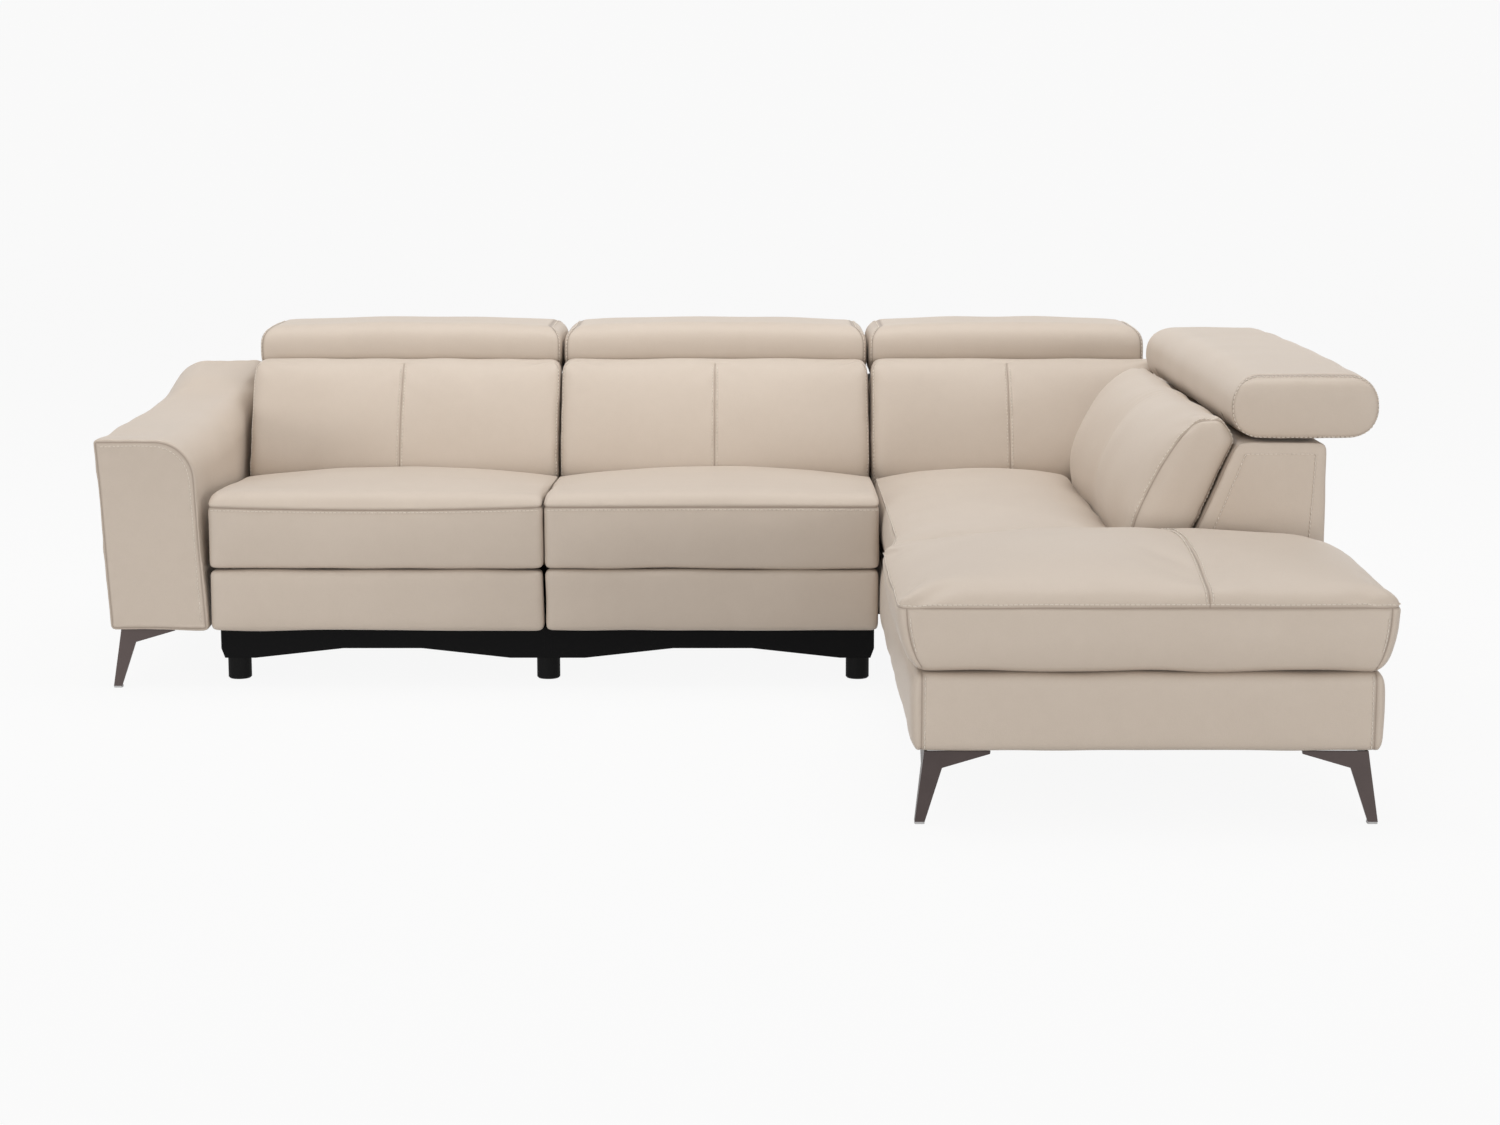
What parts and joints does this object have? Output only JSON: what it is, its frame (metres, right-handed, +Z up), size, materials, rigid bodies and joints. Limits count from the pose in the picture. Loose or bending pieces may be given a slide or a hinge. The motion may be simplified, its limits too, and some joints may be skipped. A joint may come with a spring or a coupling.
{
  "type": "reclining sofa",
  "caption": "L-shaped power reclining sofa in light leather with a padded arm, gliding recliner seats, corner seat, chaise, return back and folding headrests.",
  "frame": {"origin": "on the floor, under the middle of the sofa's box", "axes": "+X along the row of seats to the return, -Y the way the seats face, +Z up"},
  "size_m": [2.6746, 2.2405, 0.759],
  "materials": {
    "leather": "soft grained, light greige",
    "timber": "sawn softwood",
    "bronze_sheet": "satin dark bronze",
    "glide_plastic": "matt",
    "black_plastic": "matt",
    "motor_plastic": "matt",
    "switch_plastic": "matt",
    "rocker_plastic": "satin",
    "bright_steel": "zinc plated",
    "black_steel": "satin black"
  },
  "bodies": {
    "base": {"arm_cover": "leather", "arm_frame": "timber", "blade_legs": "bronze_sheet", "chaise_base": "leather", "chaise_cushion": "leather", "chaise_frame": "timber", "corner_back_cushion": "leather", "corner_back_shell": "leather", "corner_seat_cushion": "leather", "fixed_back_frames": "timber", "fixed_headrest_brackets": "black_steel", "leg_glides": "glide_plastic", "rear_apron": "leather", "recliner_base_frames": "black_steel", "recliner_feet": "black_plastic", "return_back_cushion": "leather", "return_back_shell": "leather", "section_connectors": "black_steel"},
    "left_seat": {"left_seat_rails": "timber", "left_carriage": "black_steel", "left_seat_springs": "bright_steel", "left_seat_cushion": "leather", "left_motor": "motor_plastic", "left_switch_plate": "switch_plastic"},
    "left_back": {"left_back_shell": "leather", "left_back_frame": "timber", "left_back_hinges": "black_steel", "left_back_cushion": "leather", "left_headrest_brackets": "black_steel"},
    "left_lower_links": {"left_lower_links": "black_steel"},
    "left_upper_links": {"left_upper_links": "black_steel"},
    "left_footrest": {"left_footrest_frame": "black_steel", "left_footrest_pad": "leather"},
    "left_drive_block": {"left_drive_block": "motor_plastic"},
    "left_rocker": {"left_rocker": "rocker_plastic"},
    "left_headrest": {"left_headrest_pad": "leather", "left_headrest_rod": "bright_steel"},
    "middle_seat": {"middle_seat_rails": "timber", "middle_carriage": "black_steel", "middle_seat_springs": "bright_steel", "middle_seat_cushion": "leather", "middle_motor": "motor_plastic", "middle_switch_plate": "switch_plastic"},
    "middle_back": {"middle_back_shell": "leather", "middle_back_frame": "timber", "middle_back_hinges": "black_steel", "middle_back_cushion": "leather", "middle_headrest_brackets": "black_steel"},
    "middle_lower_links": {"middle_lower_links": "black_steel"},
    "middle_upper_links": {"middle_upper_links": "black_steel"},
    "middle_footrest": {"middle_footrest_frame": "black_steel", "middle_footrest_pad": "leather"},
    "middle_drive_block": {"middle_drive_block": "motor_plastic"},
    "middle_rocker": {"middle_rocker": "rocker_plastic"},
    "middle_headrest": {"middle_headrest_pad": "leather", "middle_headrest_rod": "bright_steel"},
    "corner_headrest": {"corner_headrest_pad": "leather", "corner_headrest_rod": "bright_steel"},
    "return_headrest": {"return_headrest_pad": "leather", "return_headrest_rod": "bright_steel"}
  },
  "joints": [
    {"name": "left_seat_glide", "type": "slide", "parent": "base", "child": "left_seat", "axis": [0, -1, 0], "range_m": [0, 0.11]},
    {"name": "left_back_recline", "type": "hinge", "parent": "left_seat", "child": "left_back", "pos_m": [-0.727, 0.793, 0.295], "axis": [-1, 0, 0], "range_deg": [0, 28]},
    {"name": "left_footrest_lift", "type": "hinge", "parent": "left_seat", "child": "left_lower_links", "pos_m": [-0.727, 0.248, 0.287], "axis": [-1, 0, 0], "range_deg": [0, 145]},
    {"name": "left_upper_link_fold", "type": "hinge", "parent": "left_lower_links", "child": "left_upper_links", "pos_m": [-0.727, 0.39743, 0.27393], "axis": [-1, 0, 0], "range_deg": [-105, 0]},
    {"name": "left_footrest_tilt", "type": "hinge", "parent": "left_upper_links", "child": "left_footrest", "pos_m": [-0.727, 0.173, 0.215], "axis": [-1, 0, 0], "range_deg": [0, 45]},
    {"name": "left_drive_slide", "type": "slide", "parent": "left_seat", "child": "left_drive_block", "axis": [0, -1, 0], "range_m": [0, 0.091]},
    {"name": "left_rocker_tip", "type": "hinge", "parent": "left_seat", "child": "left_rocker", "pos_m": [-1.0903, 0.248, 0.352], "axis": [0, 0, 1], "range_deg": [-6, 6], "stiffness_Nm_per_rad": 0.08},
    {"name": "left_headrest_swing", "type": "hinge", "parent": "left_back", "child": "left_headrest", "pos_m": [-0.727, 0.8905, 0.6865], "axis": [1, 0, 0], "range_deg": [0, 80]},
    {"name": "middle_seat_glide", "type": "slide", "parent": "base", "child": "middle_seat", "axis": [0, -1, 0], "range_m": [0, 0.11]},
    {"name": "middle_back_recline", "type": "hinge", "parent": "middle_seat", "child": "middle_back", "pos_m": [0.011, 0.793, 0.295], "axis": [-1, 0, 0], "range_deg": [0, 28]},
    {"name": "middle_footrest_lift", "type": "hinge", "parent": "middle_seat", "child": "middle_lower_links", "pos_m": [0.011, 0.248, 0.287], "axis": [-1, 0, 0], "range_deg": [0, 145]},
    {"name": "middle_upper_link_fold", "type": "hinge", "parent": "middle_lower_links", "child": "middle_upper_links", "pos_m": [0.011, 0.39743, 0.27393], "axis": [-1, 0, 0], "range_deg": [-105, 0]},
    {"name": "middle_footrest_tilt", "type": "hinge", "parent": "middle_upper_links", "child": "middle_footrest", "pos_m": [0.011, 0.173, 0.215], "axis": [-1, 0, 0], "range_deg": [0, 45]},
    {"name": "middle_drive_slide", "type": "slide", "parent": "middle_seat", "child": "middle_drive_block", "axis": [0, -1, 0], "range_m": [0, 0.091]},
    {"name": "middle_rocker_tip", "type": "hinge", "parent": "middle_seat", "child": "middle_rocker", "pos_m": [0.3743, 0.248, 0.352], "axis": [0, 0, 1], "range_deg": [-6, 6], "stiffness_Nm_per_rad": 0.08},
    {"name": "middle_headrest_swing", "type": "hinge", "parent": "middle_back", "child": "middle_headrest", "pos_m": [0.011, 0.8905, 0.6865], "axis": [1, 0, 0], "range_deg": [0, 80]},
    {"name": "corner_headrest_swing", "type": "hinge", "parent": "base", "child": "corner_headrest", "pos_m": [0.717, 0.8905, 0.6865], "axis": [1, 0, 0], "range_deg": [0, 80]},
    {"name": "return_headrest_swing", "type": "hinge", "parent": "base", "child": "return_headrest", "pos_m": [1.1075, 0.128, 0.6865], "axis": [0, -1, 0], "range_deg": [0, 80]}
  ],
  "couplings": [
    {"joint": "left_back_recline", "follows": "left_seat_glide", "rad_per_m": 4.4426},
    {"joint": "left_upper_link_fold", "follows": "left_footrest_lift", "ratio": -0.72414},
    {"joint": "left_footrest_tilt", "follows": "left_footrest_lift", "ratio": 0.31034},
    {"joint": "left_drive_slide", "follows": "left_footrest_lift", "m_per_rad": 0.03595},
    {"joint": "middle_back_recline", "follows": "middle_seat_glide", "rad_per_m": 4.4426},
    {"joint": "middle_upper_link_fold", "follows": "middle_footrest_lift", "ratio": -0.72414},
    {"joint": "middle_footrest_tilt", "follows": "middle_footrest_lift", "ratio": 0.31034},
    {"joint": "middle_drive_slide", "follows": "middle_footrest_lift", "m_per_rad": 0.03595}
  ]
}
